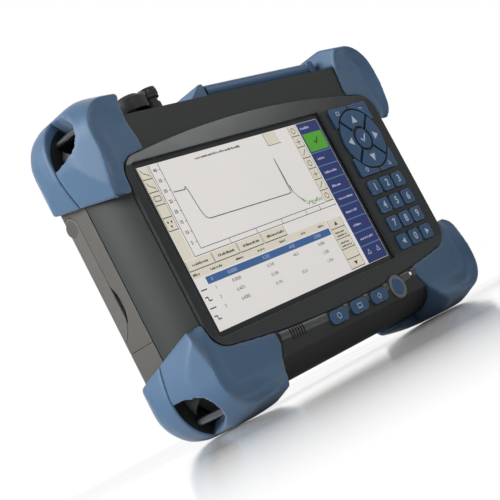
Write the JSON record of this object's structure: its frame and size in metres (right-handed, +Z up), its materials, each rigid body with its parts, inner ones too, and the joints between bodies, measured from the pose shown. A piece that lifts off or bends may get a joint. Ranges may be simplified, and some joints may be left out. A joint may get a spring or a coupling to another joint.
{
  "type": "optical time domain reflectometer",
  "caption": "Handheld optical fibre tester with touch screen, keypad, rubber corner bumpers, capped optical ports, covered sockets and a rear stand.",
  "frame": {"origin": "on the floor under the middle of the instrument standing on its lower bumpers", "axes": "+Z up, +X to the right of someone who looks at the screen, the screen faces -Y"},
  "size_m": [0.257, 0.057, 0.181],
  "materials": {
    "front_plastic": "fine moulded texture",
    "bezel_plastic": "fine moulded texture",
    "rear_plastic": "fine moulded texture",
    "door_plastic": "fine moulded texture",
    "cell_plastic": "plain",
    "seal_rubber": "plain",
    "screw_steel": "blackened",
    "pin_steel": "turned",
    "screen_glass": "polished, black printed border",
    "display_metal": "lit screen in a folded metal tray",
    "mat_rubber": "moulded sheet",
    "board_laminate": "printed laminate",
    "lens_plastic": "clear",
    "speaker_metal": "pressed",
    "optics_metal": "blasted",
    "port_metal": "nickel plated",
    "cap_rubber": "smooth",
    "socket_plastic": "plain",
    "bumper_rubber": "soft, satin",
    "key_rubber": "moulded, satin",
    "button_rubber": "moulded, satin"
  },
  "bodies": {
    "case": {"front_shell": "front_plastic", "bezel_frame": "bezel_plastic", "rear_shell": "rear_plastic", "battery_housing": "rear_plastic", "battery_door": "door_plastic", "battery_pack": "cell_plastic", "seam_gasket": "seal_rubber", "case_screws": "screw_steel", "touch_glass": "screen_glass", "display_panel": "display_metal", "keypad_mat": "mat_rubber", "key_board": "board_laminate", "power_ring": "bezel_plastic", "status_lens": "lens_plastic", "speaker": "speaker_metal", "main_board": "board_laminate", "stand_pivots": "pin_steel", "optical_module": "optics_metal", "optical_ports": "port_metal", "hinge_pins": "pin_steel", "cover_ears": "rear_plastic", "port_block": "socket_plastic", "top_front_bumpers": "bumper_rubber", "low_front_bumpers": "bumper_rubber", "top_rear_bumpers": "bumper_rubber", "low_rear_bumpers": "bumper_rubber", "strap_bars": "pin_steel"},
    "key_enter_body": {"key_enter": "key_rubber"},
    "key_right_body": {"key_right": "key_rubber"},
    "key_up_body": {"key_up": "key_rubber"},
    "key_left_body": {"key_left": "key_rubber"},
    "key_down_body": {"key_down": "key_rubber"},
    "key_top_left_body": {"key_top_left": "key_rubber"},
    "key_top_right_body": {"key_top_right": "key_rubber"},
    "key_low_left_body": {"key_low_left": "key_rubber"},
    "key_low_right_body": {"key_low_right": "key_rubber"},
    "key_number_1_body": {"key_number_1": "key_rubber"},
    "key_number_2_body": {"key_number_2": "key_rubber"},
    "key_number_3_body": {"key_number_3": "key_rubber"},
    "key_number_4_body": {"key_number_4": "key_rubber"},
    "key_number_5_body": {"key_number_5": "key_rubber"},
    "key_number_6_body": {"key_number_6": "key_rubber"},
    "key_number_7_body": {"key_number_7": "key_rubber"},
    "key_number_8_body": {"key_number_8": "key_rubber"},
    "key_number_9_body": {"key_number_9": "key_rubber"},
    "key_number_left_body": {"key_number_left": "key_rubber"},
    "key_number_0_body": {"key_number_0": "key_rubber"},
    "key_number_right_body": {"key_number_right": "key_rubber"},
    "function_button_1_body": {"function_button_1": "button_rubber"},
    "function_button_2_body": {"function_button_2": "button_rubber"},
    "function_button_3_body": {"function_button_3": "button_rubber"},
    "power_button_body": {"power_button": "button_rubber"},
    "kickstand_body": {"kickstand": "rear_plastic"},
    "flip_cap_body": {"flip_cap": "cap_rubber"},
    "plug_cap_body": {"plug_cap": "cap_rubber"},
    "port_cover_body": {"port_cover": "bumper_rubber"}
  },
  "joints": [
    {"name": "key_enter_press", "type": "slide", "parent": "case", "child": "key_enter_body", "axis": [0, 1, 0], "range_m": [0, 0.001], "stiffness_N_per_m": 300},
    {"name": "key_right_press", "type": "slide", "parent": "case", "child": "key_right_body", "axis": [0, 1, 0], "range_m": [0, 0.001], "stiffness_N_per_m": 300},
    {"name": "key_up_press", "type": "slide", "parent": "case", "child": "key_up_body", "axis": [0, 1, 0], "range_m": [0, 0.001], "stiffness_N_per_m": 300},
    {"name": "key_left_press", "type": "slide", "parent": "case", "child": "key_left_body", "axis": [0, 1, 0], "range_m": [0, 0.001], "stiffness_N_per_m": 300},
    {"name": "key_down_press", "type": "slide", "parent": "case", "child": "key_down_body", "axis": [0, 1, 0], "range_m": [0, 0.001], "stiffness_N_per_m": 300},
    {"name": "key_top_left_press", "type": "slide", "parent": "case", "child": "key_top_left_body", "axis": [0, 1, 0], "range_m": [0, 0.001], "stiffness_N_per_m": 300},
    {"name": "key_top_right_press", "type": "slide", "parent": "case", "child": "key_top_right_body", "axis": [0, 1, 0], "range_m": [0, 0.001], "stiffness_N_per_m": 300},
    {"name": "key_low_left_press", "type": "slide", "parent": "case", "child": "key_low_left_body", "axis": [0, 1, 0], "range_m": [0, 0.001], "stiffness_N_per_m": 300},
    {"name": "key_low_right_press", "type": "slide", "parent": "case", "child": "key_low_right_body", "axis": [0, 1, 0], "range_m": [0, 0.001], "stiffness_N_per_m": 300},
    {"name": "key_number_1_press", "type": "slide", "parent": "case", "child": "key_number_1_body", "axis": [0, 1, 0], "range_m": [0, 0.001], "stiffness_N_per_m": 300},
    {"name": "key_number_2_press", "type": "slide", "parent": "case", "child": "key_number_2_body", "axis": [0, 1, 0], "range_m": [0, 0.001], "stiffness_N_per_m": 300},
    {"name": "key_number_3_press", "type": "slide", "parent": "case", "child": "key_number_3_body", "axis": [0, 1, 0], "range_m": [0, 0.001], "stiffness_N_per_m": 300},
    {"name": "key_number_4_press", "type": "slide", "parent": "case", "child": "key_number_4_body", "axis": [0, 1, 0], "range_m": [0, 0.001], "stiffness_N_per_m": 300},
    {"name": "key_number_5_press", "type": "slide", "parent": "case", "child": "key_number_5_body", "axis": [0, 1, 0], "range_m": [0, 0.001], "stiffness_N_per_m": 300},
    {"name": "key_number_6_press", "type": "slide", "parent": "case", "child": "key_number_6_body", "axis": [0, 1, 0], "range_m": [0, 0.001], "stiffness_N_per_m": 300},
    {"name": "key_number_7_press", "type": "slide", "parent": "case", "child": "key_number_7_body", "axis": [0, 1, 0], "range_m": [0, 0.001], "stiffness_N_per_m": 300},
    {"name": "key_number_8_press", "type": "slide", "parent": "case", "child": "key_number_8_body", "axis": [0, 1, 0], "range_m": [0, 0.001], "stiffness_N_per_m": 300},
    {"name": "key_number_9_press", "type": "slide", "parent": "case", "child": "key_number_9_body", "axis": [0, 1, 0], "range_m": [0, 0.001], "stiffness_N_per_m": 300},
    {"name": "key_number_left_press", "type": "slide", "parent": "case", "child": "key_number_left_body", "axis": [0, 1, 0], "range_m": [0, 0.001], "stiffness_N_per_m": 300},
    {"name": "key_number_0_press", "type": "slide", "parent": "case", "child": "key_number_0_body", "axis": [0, 1, 0], "range_m": [0, 0.001], "stiffness_N_per_m": 300},
    {"name": "key_number_right_press", "type": "slide", "parent": "case", "child": "key_number_right_body", "axis": [0, 1, 0], "range_m": [0, 0.001], "stiffness_N_per_m": 300},
    {"name": "function_button_1_press", "type": "slide", "parent": "case", "child": "function_button_1_body", "axis": [0, 1, 0], "range_m": [0, 0.001], "stiffness_N_per_m": 300},
    {"name": "function_button_2_press", "type": "slide", "parent": "case", "child": "function_button_2_body", "axis": [0, 1, 0], "range_m": [0, 0.001], "stiffness_N_per_m": 300},
    {"name": "function_button_3_press", "type": "slide", "parent": "case", "child": "function_button_3_body", "axis": [0, 1, 0], "range_m": [0, 0.001], "stiffness_N_per_m": 300},
    {"name": "power_button_press", "type": "slide", "parent": "case", "child": "power_button_body", "axis": [0, 1, 0], "range_m": [0, 0.001], "stiffness_N_per_m": 300},
    {"name": "stand_swing", "type": "hinge", "parent": "case", "child": "kickstand_body", "pos_m": [0, 0.0195, 0.126], "axis": [1, 0, 0], "range_deg": [0, 50]},
    {"name": "flip_cap_swing", "type": "hinge", "parent": "case", "child": "flip_cap_body", "pos_m": [-0.071, 0.0016, 0.1704], "axis": [-1, 0, 0], "range_deg": [0, 100]},
    {"name": "plug_cap_pull", "type": "slide", "parent": "case", "child": "plug_cap_body", "axis": [0, 0, 1], "range_m": [0, 0.05]},
    {"name": "port_cover_swing", "type": "hinge", "parent": "case", "child": "port_cover_body", "pos_m": [0.036, -0.0075, 0.172], "axis": [1, 0, 0], "range_deg": [0, 105]}
  ]
}
